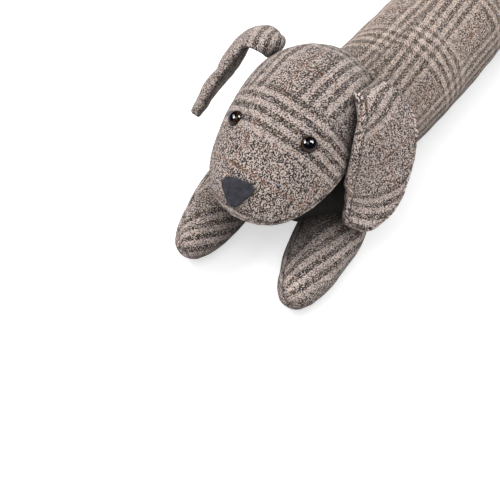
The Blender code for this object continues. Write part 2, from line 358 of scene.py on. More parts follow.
@dataclass(frozen=True)
class Stuffing:
    """Cloth simulation that swells a sewn piece, so that its fabric pulls tight and creases."""

    pressure: float = 4.0
    frames: int = 20
    cap: float = 0.003
    shrink: float = 0.04
    stiffness: float = 25.0

    def swell(self, piece: bpy.types.Object, calm: Array | None = None) -> None:
        """Run the simulation on a piece and apply its result, capped, to the mesh.

        Args:
            piece: Sewn piece, with its attribute "seam".
            calm: Share of the movement that each vertex keeps, or None for all of it.
        """
        mesh = piece.data
        before = mesh_points(mesh)
        group = piece.vertex_groups.new(name="seam pull")
        nearness = np.empty(len(mesh.vertices), np.float32)
        mesh.attributes["seam"].data.foreach_get("value", nearness)
        for level in range(1, 9):
            chosen = np.flatnonzero(np.round(nearness * 8.0) == level)
            group.add(chosen.tolist(), level / 8.0, "REPLACE")
        modifier = piece.modifiers.new("stuffing", "CLOTH")
        for name, value in {
            "quality": 5, "mass": 0.3, "tension_stiffness": self.stiffness,
            "compression_stiffness": self.stiffness, "shear_stiffness": 0.5 * self.stiffness,
            "bending_stiffness": 0.5, "use_pressure": True, "uniform_pressure_force": self.pressure,
            "vertex_group_shrink": group.name, "shrink_min": 0.0, "shrink_max": self.shrink,
        }.items():
            setattr(modifier.settings, name, value)
        modifier.settings.effector_weights.gravity = 0.0
        modifier.point_cache.frame_start = 1
        modifier.point_cache.frame_end = self.frames
        for number in range(1, self.frames + 1):
            bpy.context.scene.frame_set(number)
        graph = bpy.context.evaluated_depsgraph_get()
        moved = mesh_points(piece.evaluated_get(graph).data) - before
        moved -= moved.mean(axis=0)
        length = np.linalg.norm(moved, axis=-1, keepdims=True)
        moved *= np.minimum(1.0, self.cap / np.maximum(length, 1e-9))
        if calm is not None:
            moved *= calm[:, None]
        after = before + moved
        after[:, 2] = np.maximum(after[:, 2], np.minimum(before[:, 2], 0.0))
        piece.modifiers.remove(modifier)
        piece.vertex_groups.remove(group)
        bpy.context.scene.frame_set(1)
        mesh.vertices.foreach_set("co", after.astype(np.float32).ravel())
        mesh.update()
        LOG.info("%s swelled, at most %.1f mm", piece.name, 1000.0 * self.cap)


def settle(piece: bpy.types.Object, node: str) -> None:
    """Attach a piece to the root, and hide the CAD node that it stands for.

    Args:
        piece: Finished piece.
        node: CAD node that it stands for.
    """
    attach(piece, "root")
    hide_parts(node)
    LOG.info("%s: %d vertices", piece.name, len(piece.data.vertices))


def make_up(name: str, node: str, panels: list[Panel], tweed: "Tweed", stuffing: Stuffing,
            calm: Callable[[Array], Array] | None = None) -> bpy.types.Object:
    """Sew, swell, refine and settle a stuffed piece.

    Args:
        name: Name of the piece.
        node: CAD node that it stands for.
        panels: Its panels.
        tweed: Its finish.
        stuffing: Its simulation.
        calm: Gives the share of the swelling that each point keeps.

    Returns:
        The piece.
    """
    piece = sew(name, panels, tweed.material())
    stuffing.swell(piece, None if calm is None else calm(mesh_points(piece.data)))
    modifier = piece.modifiers.new("fine cloth", "SUBSURF")
    modifier.levels = modifier.render_levels = 1
    settle(piece, node)
    return piece


# Finishes


def math_method(operation: str, swapped: bool = False) -> Callable[..., "Signal"]:
    """Method of Signal that adds a Math node of one operation.

    Args:
        operation: Operation of the Math node.
        swapped: Whether the other number comes first.

    Returns:
        The method.
    """
    def method(self: "Signal", *others: object) -> "Signal":
        """Result of the operation on this number and the others."""
        return self.wires.math(operation, *((*others, self) if swapped else (self, *others)))
    return method


class Signal:
    """Output socket that can be reckoned with: each operation adds a Math node to its tree."""

    def __init__(self, wires: "Wiring", socket: bpy.types.NodeSocket) -> None:
        """Keep the wiring and the socket."""
        self.wires = wires
        self.socket = socket

    def other(self, name: str | int) -> "Signal":
        """Another output of the same node."""
        return Signal(self.wires, self.socket.node.outputs[name])

    __add__ = __radd__ = math_method("ADD")
    __mul__ = __rmul__ = math_method("MULTIPLY")
    __sub__ = math_method("SUBTRACT")
    __rsub__ = math_method("SUBTRACT", swapped=True)
    __truediv__ = math_method("DIVIDE")
    __mod__ = math_method("FLOORED_MODULO")
    __pow__ = math_method("POWER")
    __lt__ = math_method("LESS_THAN")
    __gt__ = math_method("GREATER_THAN")
    __abs__ = math_method("ABSOLUTE")
    floor = math_method("FLOOR")
    fraction = math_method("FRACT")
    root = math_method("SQRT")
    at_least = math_method("MAXIMUM")
    near = math_method("COMPARE")


class Wiring:
    """Adds nodes to a tree, each wired to the signals or set to the values that it is given."""

    def __init__(self, tree: bpy.types.NodeTree) -> None:
        """Keep the tree."""
        self.tree = tree

    def feed(self, node: bpy.types.Node, given: dict[str | int, object]) -> None:
        """Link a node's inputs to signals, or set them to values, by name or number."""
        for name, source in given.items():
            if isinstance(source, Signal):
                self.tree.links.new(source.socket, node.inputs[name])
            else:
                node.inputs[name].default_value = source

    def node(self, kind: str, given: dict[str | int, object] | None = None,
             result: str | int = 0, **settings: object) -> Signal:
        """Add a node.

        Args:
            kind: Kind of the shader node.
            given: Its inputs, by name or number.
            result: Name or number of the output.
            settings: Its settings.

        Returns:
            The output.
        """
        made = self.tree.nodes.new(f"ShaderNode{kind}")
        for name, value in settings.items():
            setattr(made, name, value)
        self.feed(made, given or {})
        return Signal(self, made.outputs[result])

    def math(self, operation: str, *numbers: object) -> Signal:
        """Result of a Math node."""
        return self.node("Math", dict(enumerate(numbers)), operation=operation)

    def vector(self, operation: str, *vectors: object, result: str = "Vector") -> Signal:
        """Result of a Vector Math node."""
        return self.node("VectorMath", dict(enumerate(vectors)), result, operation=operation)

    def scaled(self, vector: object, scale: float) -> Signal:
        """Vector times a number."""
        return self.node("VectorMath", {0: vector, "Scale": scale}, operation="SCALE")

    def join(self, *numbers: object) -> Signal:
        """Vector of up to three numbers."""
        return self.node("CombineXYZ", dict(enumerate(numbers)))

    def split(self, vector: object) -> tuple[Signal, Signal]:
        """First two numbers of a vector."""
        first = self.node("SeparateXYZ", {0: vector})
        return first, first.other(1)

    def clamp(self, number: object) -> Signal:
        """Number held between 0 and 1."""
        return self.node("Clamp", {0: number})

    def smooth(self, number: object, low: float, high: float, start: float = 0.0) -> Signal:
        """Number that rises smoothly from start at low to 1 at high."""
        return self.node("MapRange", {0: number, 1: low, 2: high, 3: start},
                         interpolation_type="SMOOTHSTEP")

    def blend(self, share: object, first: object, second: object) -> Signal:
        """Number between two numbers."""
        return self.node("Mix", {0: share, 2: first, 3: second}, data_type="FLOAT")

    def mix(self, share: object, first: object, second: object, blend: str = "MIX") -> Signal:
        """Colour between two colours."""
        return self.node("Mix", {0: share, 6: first, 7: second}, 2, data_type="RGBA",
                         blend_type=blend)

    def shaded(self, colour: object, shade: Signal) -> Signal:
        """Colour times a grey."""
        return self.mix(1.0, colour, self.join(shade, shade, shade), "MULTIPLY")

    def noise(self, place: object, scale: float, detail: float = 2.0, roughness: float = 0.5,
              result: str = "Fac") -> Signal:
        """Noise at a place, as a number or as a colour."""
        return self.node("TexNoise", {"Vector": place, "Scale": scale, "Detail": detail,
                                      "Roughness": roughness}, result)

    def chance(self, first: object, second: object) -> Signal:
        """Random number from 0 to 1 for each pair of numbers."""
        return self.node("TexWhiteNoise", {"Vector": self.join(first, second)},
                         noise_dimensions="2D")

    def bump(self, height: Signal, strength: float, distance: float) -> Signal:
        """Normals of a height."""
        return self.node("Bump", {"Strength": strength, "Distance": distance, "Height": height})


def new_group(name: str, inputs: dict[str, str], outputs: dict[str, str]) -> tuple[
        Wiring, dict[str, Signal], bpy.types.Node]:
    """Start a shader node group.

    Args:
        name: Name of the group.
        inputs: Its input names, with the type of each.
        outputs: Its output names, with the type of each.

    Returns:
        Its wiring, the signals of its inputs by name, and its output node.
    """
    tree = bpy.data.node_groups.new(name, "ShaderNodeTree")
    for way, sockets in (("INPUT", inputs), ("OUTPUT", outputs)):
        for title, kind in sockets.items():
            tree.interface.new_socket(name=title, in_out=way, socket_type=f"NodeSocket{kind}")
    wires = Wiring(tree)
    entry = tree.nodes.new("NodeGroupInput")
    given = {title: Signal(wires, entry.outputs[title]) for title in inputs}
    return wires, given, tree.nodes.new("NodeGroupOutput")


def arch(share: Signal) -> Signal:
    """1 - (2s - 1)^2 of a share s, and 0 beyond its ends."""
    lean = share * 2.0 - 1.0
    return (1.0 - lean * lean).at_least(0.0)


@dataclass
class CheckWeave:
    """Node group of a twill-woven check: groups of wide bands on a fine ground, with an overcheck."""

    wobble: float = 0.0011
    slub: float = 0.34
    stray: float = 0.25
    calm: float = 0.05
    thread_share: float = 0.55
    crowding: float = 0.34
    tuft: float = 0.00102
    matting: float = 0.55
    grain: float = 12.5
    band_grain: float = 5.0
    depth: float = 0.25
    band_depth: float = 0.45
    rust: Colour = (0.30, 0.115, 0.045, 1.0)
    olive: Colour = (0.30, 0.23, 0.075, 1.0)
    violet: Colour = (0.085, 0.085, 0.150, 1.0)
    tree: bpy.types.NodeTree | None = field(default=None, init=False)

    def stripes(self, count: Signal, repeat: int, kept: Signal) -> tuple[Signal, Signal, Signal]:
        """Work out which threads of one direction are dark, and which carry the overcheck.

        Of each repeat's threads the first 64 lie eight dark, eight light, and the rest one dark,
        one light. The overcheck takes four threads in the middle of the fine ground.

        Args:
            count: Whole number of the thread.
            repeat: Threads in one repeat.
            kept: Over one half where the wide groups are woven in.

        Returns:
            Signals that are 1 on dark threads, on overcheck threads and in the wide group.
        """
        place = count % float(repeat)
        wide = place % (2.0 * BAND_THREADS) < BAND_THREADS - 0.5
        fine = place % 2.0 < 0.5
        in_group = (place < GROUP_THREADS - 0.5) * (kept > 0.5)
        over = place.near(0.5 * (GROUP_THREADS + repeat), 2.1)
        return count.wires.blend(in_group, fine, wide), over, in_group

    def build(self) -> bpy.types.NodeTree:
        """Make the group once.

        Thread numbers are floor(cloth / thread). A warp thread lies on top where the sum of both
        numbers, modulo 4, is under 2, which makes the 2/2 twill. A float's height is the
        root of its cross profile 1 - s^2 times a low arch along the float. The grain is of short
        tufts, laid brick-wise, with softer matting.

        Returns:
            The group, whose input Bands keeps the wide groups of each direction.
        """
        if self.tree is not None:
            return self.tree
        wires, given, result = new_group(
            "check weave", {"Cloth": "Vector", "Bands": "Vector", "Light yarn": "Color",
                            "Dark yarn": "Color", "Flecks": "Float"},
            {"Color": "Color", "Height": "Float"})
        self.tree = wires.tree
        place = cloth = given["Cloth"]
        for scale, reach in ((23.0, 4.0), (330.0, 0.9)):
            cloud = wires.noise(cloth, scale, 1.0, result="Color")
            drift = wires.scaled(wires.vector("SUBTRACT", cloud, (0.5,) * 3), reach * self.wobble)
            place = wires.vector("ADD", place, drift)
        warp_at, weft_at = wires.split(wires.scaled(place, 1.0 / THREAD))
        warp, weft = warp_at.floor(), weft_at.floor()
        warp_part, weft_part = warp_at.fraction(), weft_at.fraction()
        warp_kept, weft_kept = wires.split(given["Bands"])
        of_warp = self.stripes(warp, REPEAT_ALONG, warp_kept)
        of_weft = self.stripes(weft, REPEAT_ACROSS, weft_kept)
        twill = (warp + weft) % 4.0
        on_top = twill < 1.5

        # The thicker yarn of a group crowds out the fine ground that it crosses
        luck = wires.chance(warp + 0.5, weft + 0.2) < self.crowding
        shown = wires.clamp(on_top + luck * (of_warp[2] - of_weft[2]))
        dark, over, steady = (wires.blend(shown, low, high) for low, high in zip(of_weft, of_warp))

        # Heathered yarn now and then shows its other colour, most of all in the fine ground
        stray = wires.chance(warp, weft) < self.stray + (self.calm - self.stray) * steady
        dark = abs(dark - stray)

        # The place along a float and across its thread
        run = wires.blend(on_top, 0.5 * (twill - 2.0 + warp_part), 0.5 * (twill + weft_part))
        cross = wires.blend(on_top, weft_part, warp_part)
        fuzz = wires.noise(cloth, 2600.0, 3.0, 0.65)
        height = arch(cross).root() * (0.45 * arch(run) + 0.55) * 0.8 + 0.5 * fuzz

        # Slubby yarn: each thread has its own depth of colour, and each float a little more
        own = wires.blend(on_top, wires.chance(weft, 3.0), wires.chance(warp, 7.0))
        each = wires.chance(warp + 0.37, weft + 0.61)
        shade = 0.10 * (own - 0.5) + self.slub * (each - 0.5)
        column, row = wires.split(wires.scaled(place, 1.0 / self.tuft))
        row = row.floor()
        tuft = wires.chance((0.5 * row + column).floor(), row)
        soft = wires.noise(cloth, 820.0, 1.5, 0.6)
        grain = self.matting * (soft - 0.5) + 0.22 * (tuft - 0.5)
        grain = grain * (self.grain + (self.band_grain - self.grain) * steady)
        bias = self.depth + (self.band_depth - 1.0) * self.depth * steady
        woven = wires.blend(steady, self.thread_share * (dark - 0.5) + 0.5, dark)
        share = wires.clamp(woven + bias + shade + grain)
        colour = wires.mix(share, given["Light yarn"], given["Dark yarn"])

        # Overcheck and stray coloured fibres
        colour = wires.mix(0.42 * over, colour, self.rust)
        for number, tint in enumerate((self.rust, self.olive, self.violet)):
            spot = wires.noise(wires.vector("ADD", cloth, (0.31 * number + 0.2, 0.17, 0.05)),
                               310.0 + 60.0 * number, 2.0, 0.6)
            patch = wires.noise(wires.vector("ADD", cloth, (0.11, 0.23 * number, 0.4)), 26.0, 1.0)
            mask = wires.clamp((9.0 * spot - 5.3) * (2.2 * patch - 0.5))
            colour = wires.mix(mask * given["Flecks"], colour, tint)

        # Painted shade: threads darken where they dive under their neighbours
        wires.feed(result, {"Color": wires.shaded(colour, 0.34 * height + 0.74), "Height": height})
        return self.tree


@dataclass
class SeamShade:
    """Node group that paints shade into a seam's valley and a highlight on the ridge beside it."""

    ridge_light: float = 0.30
    tree: bpy.types.NodeTree | None = field(default=None, init=False)

    def build(self) -> bpy.types.NodeTree:
        """Make the group once: colour times 1 - depth * seam^1.6 + ridge_light * (4 seam (1 -
        seam))^3.

        Returns:
            The group, with inputs Color, Seam, Depth and Place.
        """
        if self.tree is not None:
            return self.tree
        wires, given, result = new_group(
            "seam shade", {"Color": "Color", "Seam": "Float", "Depth": "Float", "Place": "Vector"},
            {"Color": "Color"})
        self.tree = wires.tree
        near = given["Seam"]
        soil = wires.noise(given["Place"], 14.0, 3.0, 0.6)
        uneven = wires.noise(given["Place"], 160.0)
        # Painted shade in the seam's valley, and a painted highlight on the puckered ridge beside it
        dark = near ** 1.6 * given["Depth"] * (0.8 * uneven + 0.6)
        ridge_lift = self.ridge_light * (4.0 * near * (1.0 - near)) ** 3.0
        wires.feed(result, {"Color": wires.shaded(given["Color"], 0.16 * soil + 0.92 - dark + ridge_lift)})
        return self.tree


CHECK_WEAVE = CheckWeave()
SEAM_SHADE = SeamShade()


def new_material(name: str) -> tuple[bpy.types.Material, Wiring, bpy.types.Node]:
    """Start a node material, and give its wiring and its Principled shader with it."""
    material = bpy.data.materials.new(name)
    material.use_nodes = True
    return material, Wiring(material.node_tree), material.node_tree.nodes["Principled BSDF"]


@dataclass(frozen=True)
class Tweed:
    """Woven check tweed of light and dark heathered wool."""

    name: str
    light: Colour = (0.770, 0.640, 0.585, 1.0)
    dark: Colour = (0.030, 0.018, 0.015, 1.0)
    flecks: float = 0.55
    # Painted shade in seam valleys and in creases, from ambient occlusion, and a painted shadow in
    # one hollow
    seam_shade_depth: float = 0.40
    crease_reach: float = 0.070
    crease_shade: float = 1.25
    hollow_shadow: tuple[float, float, float, float] | None = None

    def material(self) -> bpy.types.Material:
        """Make the material, which reads the UV map "cloth", the seam and the bands.

        Shade is painted into deep creases: the colour is multiplied by a power of how open each
        place is. A hollow, given as a point and a radius, gets a painted shadow, darker still.
        """
        material, wires, shader = new_material(self.name)
        place = wires.node("TexCoord", result="Object")
        weave = wires.node("Group", {
            "Cloth": wires.node("UVMap", uv_map="cloth"),
            "Bands": wires.node("Attribute", result="Vector", attribute_name="bands"),
            "Light yarn": self.light, "Dark yarn": self.dark, "Flecks": self.flecks,
        }, node_tree=CHECK_WEAVE.build())
        height = weave.other("Height")
        shade = wires.node("Group", {
            "Color": weave, "Depth": self.seam_shade_depth, "Place": place,
            "Seam": wires.node("Attribute", result="Fac", attribute_name="seam"),
        }, node_tree=SEAM_SHADE.build())
        # Painted shade: ambient occlusion darkens the colour in creases and beside the floor
        hidden = wires.node("AmbientOcclusion", {"Distance": self.crease_reach}, "AO", samples=6)
        open_share = hidden ** self.crease_shade
        # Painted shadow: the colour darkens towards a given point in the hollow under the head
        if self.hollow_shadow is not None:
            far = wires.vector("DISTANCE", place, self.hollow_shadow[:3], result="Value")
            reach = self.hollow_shadow[3]
            open_share = open_share * wires.smooth(far, 0.35 * reach, reach, start=0.06)
        wires.feed(shader, {
            "Base Color": wires.shaded(shade, open_share), "Normal": wires.bump(height, 0.7, 0.0005),
            "Roughness": 1.0 - 0.10 * height, "Specular IOR Level": 0.2, "Sheen Weight": 0.12,
            "Sheen Roughness": 0.6, "Sheen Tint": (0.95, 0.88, 0.84, 1.0)})
        return material


@dataclass(frozen=True)
class Felt:
    """Pressed wool felt, matt, with short matted fibres."""

    name: str
    deep: Colour = (0.010, 0.011, 0.015, 1.0)
    pale: Colour = (0.048, 0.048, 0.063, 1.0)

    def material(self) -> bpy.types.Material:
        """Make the material on Object coordinates, with its fibres drawn out one way."""
        material, wires, shader = new_material(self.name)
        place = wires.node("TexCoord", result="Object")
        fibres = wires.noise(wires.vector("MULTIPLY", place, (1.0, 2.6, 1.4)), 640.0, 4.0, 0.7)
        mat = wires.noise(place, 170.0)
        wires.feed(shader, {
            "Base Color": wires.mix(2.6 * fibres + 1.6 * mat - 1.6, self.deep, self.pale),
            "Normal": wires.bump(fibres + mat, 0.6, 0.0004), "Roughness": 0.12 * mat + 0.86,
            "Specular IOR Level": 0.25, "Sheen Weight": 0.06})
        return material


@dataclass(frozen=True)
class EyeGloss:
    """Clear gloss over a black pupil and an amber-brown ring."""

    name: str
    radius: float
    pupil: float = 0.76
    black: Colour = (0.004, 0.004, 0.006, 1.0)
    amber: Colour = (0.048, 0.024, 0.008, 1.0)
    rim: Colour = (0.016, 0.009, 0.006, 1.0)

    def material(self) -> bpy.types.Material:
        """Make the material on the UV map "cloth", whose origin is the eye's middle."""
        material, wires, shader = new_material(self.name)
        spot = wires.node("UVMap", uv_map="cloth")
        rays = wires.noise(spot, 1500.0)
        edge = 0.03 * rays + wires.vector("LENGTH", spot, result="Value") / self.radius
        ring = wires.smooth(edge, self.pupil, self.pupil + 0.05)
        deep_amber = tuple(0.55 * part for part in self.amber[:3]) + (1.0,)
        depth = wires.mix(0.8 * rays + 0.1, self.amber, deep_amber)
        colour = wires.mix(ring, self.black, depth)
        wires.feed(shader, {
            "Base Color": wires.mix(wires.smooth(edge, 0.90, 0.99), colour, self.rim),
            "Roughness": 0.05 * wires.noise(spot, 420.0, 3.0) + 0.05, "Coat Weight": 1.0,
            "Coat Roughness": 0.02, "Coat IOR": 1.45, "Specular IOR Level": 0.0})
        return material


# Pieces


@dataclass
class Body:
    """Long stuffed tube of two side panels, joined by a spine seam and a belly seam."""

    radius: float = 0.060
    rump_radius: float = 0.0635
    waist: float = 0.0015
    sag: float = 0.0025
    front_x: float = -0.364
    front_cap: float = 0.062
    rear_x: float = 0.450
    rear_cap: float = 0.072
    droop: float = 0.022
    droop_x: float = 0.320
    press: float = 0.040
    cap_angle: float = 40.0
    flat_cap: float = 0.068
    seam: Seam = Seam(depth=0.0024, width=0.0026, pucker=0.0006, pucker_length=0.016,
                      pucker_reach=0.014, lumps=0.0008, lump_length=0.095)
    lays: tuple[Lay, Lay] = (Lay(0.262, 0.030, turn=5.0), Lay(0.227, -0.030, mirror=True))
    # Painted shade in creases and a painted shadow in the hollow under the head
    tweed: Tweed = Tweed("body check tweed", light=(0.775, 0.632, 0.550, 1.0),
                         dark=(0.046, 0.028, 0.021, 1.0), crease_reach=0.090, crease_shade=2.2,
                         hollow_shadow=(-0.345, -0.030, 0.060, 0.085))

    def profile(self, latitude: Array) -> tuple[Array, Array]:
        """Place along X and radius of a ring, from its latitude of 0 to 180 degrees.

        The ends are quarter ellipses, and the middle is a straight tube that is drawn in at its
        waist and fuller towards the rump, with slight waves where the stuffing is uneven.

        Args:
            latitude: Latitudes in degrees.

        Returns:
            Places along X and radii.
        """
        start, stop = self.front_x + self.front_cap, self.rear_x - self.rear_cap
        front = np.radians(90.0 * np.clip(latitude / self.cap_angle, 0.0, 1.0))
        rear = np.radians(90.0 * np.clip((180.0 - latitude) / self.cap_angle, 0.0, 1.0))
        share = np.clip((latitude - self.cap_angle) / (180.0 - 2.0 * self.cap_angle), 0.0, 1.0)
        along = start + (stop - start) * share
        size = self.radius + (self.rump_radius - self.radius) * smooth_step(share, 0.45, 1.0)
        size = size - self.waist * np.sin(HALF_TURN * share) ** 2
        size = size + 0.0007 * np.sin(37.0 * along) + 0.0005 * np.sin(71.0 * along + 1.0)
        along = along - self.front_cap * np.cos(front) + self.rear_cap * np.cos(rear)
        return along, size * np.sin(front) ** 0.9 * np.sin(rear) ** 0.95

    def panel(self, side: Side, lay: Lay) -> Panel:
        """Side panel: rings of the profile, swept from the spine to the belly.

        A point is (x, side * size * sin(around), centre + size * pressed * cos(around)), never
        under the floor. On the flat cloth, U runs along the body and V round it, and both ends
        unroll about the panel's own middle.

        Args:
            side: Side of the dog.
            lay: How the panel was cut.

        Returns:
            The panel.
        """
        cap = self.cap_angle
        steps = np.concatenate([np.linspace(0.0, cap - 2.0, 15), np.linspace(cap, 180.0 - cap, 140),
                                180.0 - cap * (1.0 - np.linspace(0.0, 1.0, 24)[1:])])
        share = np.linspace(0.0, 1.0, 42)
        turn = HALF_TURN * (share - 0.72 * np.sin(2.0 * HALF_TURN * share) / (2.0 * HALF_TURN))
        latitude, around = np.meshgrid(steps, turn, indexing="ij")
        along, size = self.profile(latitude)
        centre = self.radius - self.sag
        centre = centre + (self.rump_radius - self.radius) * np.clip(along / self.rear_x, 0.0, None)
        drop = np.clip((along - self.droop_x) / (self.rear_x - self.droop_x), 0.0, None)
        centre = centre - self.droop * drop ** 2
        pressed = 1.0 + self.press * np.clip(-np.cos(around), 0.0, None) ** 2
        inward = np.stack([np.zeros_like(around), -side.value * np.sin(around), -np.cos(around)], -1)
        points = np.stack([along, side.value * size * np.sin(around),
                           centre + size * pressed * np.cos(around)], axis=-1)
        distance = size * np.minimum(around, HALF_TURN - around)
        points = self.seam.press(points, distance, along, inward, 11)
        points[..., 2] = np.maximum(points[..., 2], 0.0)
        return Panel(points, lay.on_cloth(self.flat(latitude, around, along)), bell(distance, 0.003))

    def flat(self, latitude: Array, around: Array, along: Array) -> Array:
        """Flat coordinates of a side panel.

        On the tube U is x and V is the radius times the turn from the panel's middle. On an end
        the angle f from the middle gives U = stop + cap * f * cos(l) / sin(f) and
        V = -radius * f * sin(l) * cos(around) / sin(f).

        Args:
            latitude: Latitudes in degrees.
            around: Turns from the spine.
            along: Places along X.

        Returns:
            Grid of (U, V) in metres.
        """
        start, stop = self.front_x + self.front_cap, self.rear_x - self.rear_cap
        front, rear = latitude < self.cap_angle, latitude > 180.0 - self.cap_angle
        share = np.where(front, latitude, 180.0 - latitude) / self.cap_angle
        level = np.radians(90.0 * np.clip(share, 0.0, 1.0))
        level = np.where(front | rear, level, 0.5 * HALF_TURN)
        angle = np.arccos(np.clip(np.sin(level) * np.sin(around), -1.0, 1.0))
        factor = angle / np.maximum(np.sin(angle), 1e-6)
        across = -self.rump_radius * factor * np.sin(level) * np.cos(around)
        beyond = self.flat_cap * factor * np.cos(level)
        place = np.where(rear, stop + beyond, np.where(front, start - beyond, along))
        return np.stack([place, across], axis=-1)

    def build(self) -> bpy.types.Object:
        """Sew, swell and settle the body."""
        panels = [self.panel(side, lay) for side, lay in zip(Side, self.lays)]
        return make_up("stuffed_body", "body", panels, self.tweed, Stuffing(cap=0.0022))


@dataclass
class Head:
    """Stuffed pillow of a top and an under panel, joined by a seam round muzzle, cheeks and back."""

    centre: Point = (-0.322, 0.012, 0.107)
    angles: tuple[float, float, float] = (8.0, 16.0, 6.0)
    half_length: float = 0.0955
    half_width: float = 0.0665
    ahead: float = 0.004
    crown: float = 0.048
    chin: float = 0.044
    cheek_lens: float = 0.70
    squareness: float = 2.3
    seam: Seam = Seam(depth=0.0022, width=0.0020, pucker=0.0005, pucker_length=0.012,
                      pucker_reach=0.010, lumps=0.0006, lump_length=0.060)
    lays: tuple[Lay, Lay] = (Lay(0.0148, 0.027, turn=9.0, stretch=1.1),
                             Lay(0.02, 0.01, turn=5.0, mirror=True))
    tweed: Tweed = Tweed("head check tweed", light=(0.660, 0.550, 0.500, 1.0),
                         dark=(0.024, 0.015, 0.013, 1.0))
    plain_ahead: tuple[float, float] = (-0.012, -0.008)
    seats: tuple[tuple[float, float], ...] = ((0.026, 0.037), (0.026, -0.037), (0.085, -0.006))

    def place(self, ahead: Array, aside: Array, lift: Array) -> Array:
        """World points from places along the head's forward, left and up axes."""
        forward, left, up = turned_axes(*self.angles)
        return (np.array(self.centre) + forward * np.asarray(ahead)[..., None]
                + left * np.asarray(aside)[..., None] + up * np.asarray(lift)[..., None])

    def lens(self, turn: Array) -> Array:
        """Power that thins the crown beside the eyes and leaves it full at muzzle and back."""
        return 1.0 + self.cheek_lens * np.sin(turn) ** 2 * np.clip(0.35 + np.cos(turn), 0.0, None)

    def surface(self, ahead: Array, aside: Array) -> Array:
        """Points of the top panel above places of the seam plane.

        With reach r = (|a|^q + |b|^q)^(1/q) of the scaled places a and b, the height is
        crown * (1 - r^2)^(lens / 2).

        Args:
            ahead: Places along the forward axis.
            aside: Places along the left axis.

        Returns:
            World points.
        """
        power = self.squareness
        along, across = (ahead - self.ahead) / self.half_length, aside / self.half_width
        reach = (np.abs(along) ** power + np.abs(across) ** power) ** (1.0 / power)
        turn = np.arctan2(signed_power(across, 0.5 * power), signed_power(along, 0.5 * power))
        level = np.clip(1.0 - reach * reach, 0.0, None)
        return self.place(ahead, aside, self.crown * level ** (0.5 * self.lens(turn)))

    def slopes(self, ahead: Array, aside: Array) -> tuple[Array, Array]:
        """Steps along the top panel for a unit ahead and for a unit aside."""
        step = 0.001
        along = self.surface(ahead + step, aside) - self.surface(ahead - step, aside)
        across = self.surface(ahead, aside + step) - self.surface(ahead, aside - step)
        return along / (2.0 * step), across / (2.0 * step)

    def normal(self, ahead: Array, aside: Array) -> Array:
        """Outward normals of the top panel."""
        along, across = self.slopes(ahead, aside)
        return unit(np.cross(along, across))

    def walk(self, ahead: Array, aside: Array, down: Array, left: Array) -> tuple[Array, Array]:
        """Places reached from a start by walking ways over the top panel, in six equal steps."""
        for _ in range(6):
            along, across = self.slopes(ahead, aside)
            ahead = ahead + down / 6.0 / np.linalg.norm(along, axis=-1)
            aside = aside + left / 6.0 / np.linalg.norm(across, axis=-1)
        return ahead, aside

    def panel(self, face: Face, lay: Lay) -> Panel:
        """Top or under panel: meridians from the middle of the panel out to the seam.

        With latitude l and turn t, ahead is half length * cos(l) * cos(t)^(2/q), aside is half
        width * cos(l) * sin(t)^(2/q), and the rise is the crown or chin times sin(l)^lens. The
        flat cloth is unrolled about the panel's middle, each meridian at its true length. The
        muzzle is cut plain: the top panel's lengthwise groups end where it starts.

        Args:
            face: Top or under panel.
            lay: How the panel was cut.

        Returns:
            The panel.
        """
        latitude, turn = meridians(40, 1.45, 145)
        swell = 2.0 / self.squareness
        reach = np.cos(latitude)
        ahead = self.half_length * reach * signed_power(np.cos(turn), swell)
        aside = self.half_width * reach * signed_power(np.sin(turn), swell)
        rise = self.crown if face is Face.TOP else self.chin
        lift = face.value * rise * np.sin(latitude) ** self.lens(turn)
        points = self.place(ahead + self.ahead, aside, lift)
        from_middle = arc_length(points[::-1], 0)[::-1]
        distance = from_middle[:1] - from_middle
        heading = np.arctan2(aside[:1], ahead[:1]) + np.zeros_like(turn)
        flat = np.stack([from_middle * np.cos(heading), from_middle * np.sin(heading)], axis=-1)
        run = arc_length(points[:1], 1) + np.zeros_like(turn)
        centre = self.place(np.array(self.ahead), np.array(0.0), np.array(0.0))
        inward = unit(centre - points[:1]) + np.zeros_like(points)
        points = self.seam.press(points, distance, run, inward, 23, self.calm(points))
        muzzle = smooth_step(flat[..., 0], *self.plain_ahead) * (face is Face.TOP)
        kept = np.stack([np.ones_like(muzzle), 1.0 - muzzle], axis=-1)
        return Panel(points, lay.on_cloth(flat), bell(distance, 0.003), kept)

    def calm(self, points: Array) -> Array:
        """Share of the lumps that is kept: none under the eyes and the nose."""
        seats = [self.surface(np.array(ahead), np.array(aside)) for ahead, aside in self.seats]
        near = [bell(np.linalg.norm(points - seat, axis=-1), 0.019) for seat in seats]
        return 1.0 - np.clip(np.maximum.reduce(near) * 1.3, 0.0, 1.0)

    def build(self) -> bpy.types.Object:
        """Sew, swell and settle the head."""
        panels = [self.panel(face, lay) for face, lay in zip(Face, self.lays)]
        return make_up("stuffed_head", "head", panels, self.tweed, Stuffing(cap=0.0018),
                       calm=self.calm)


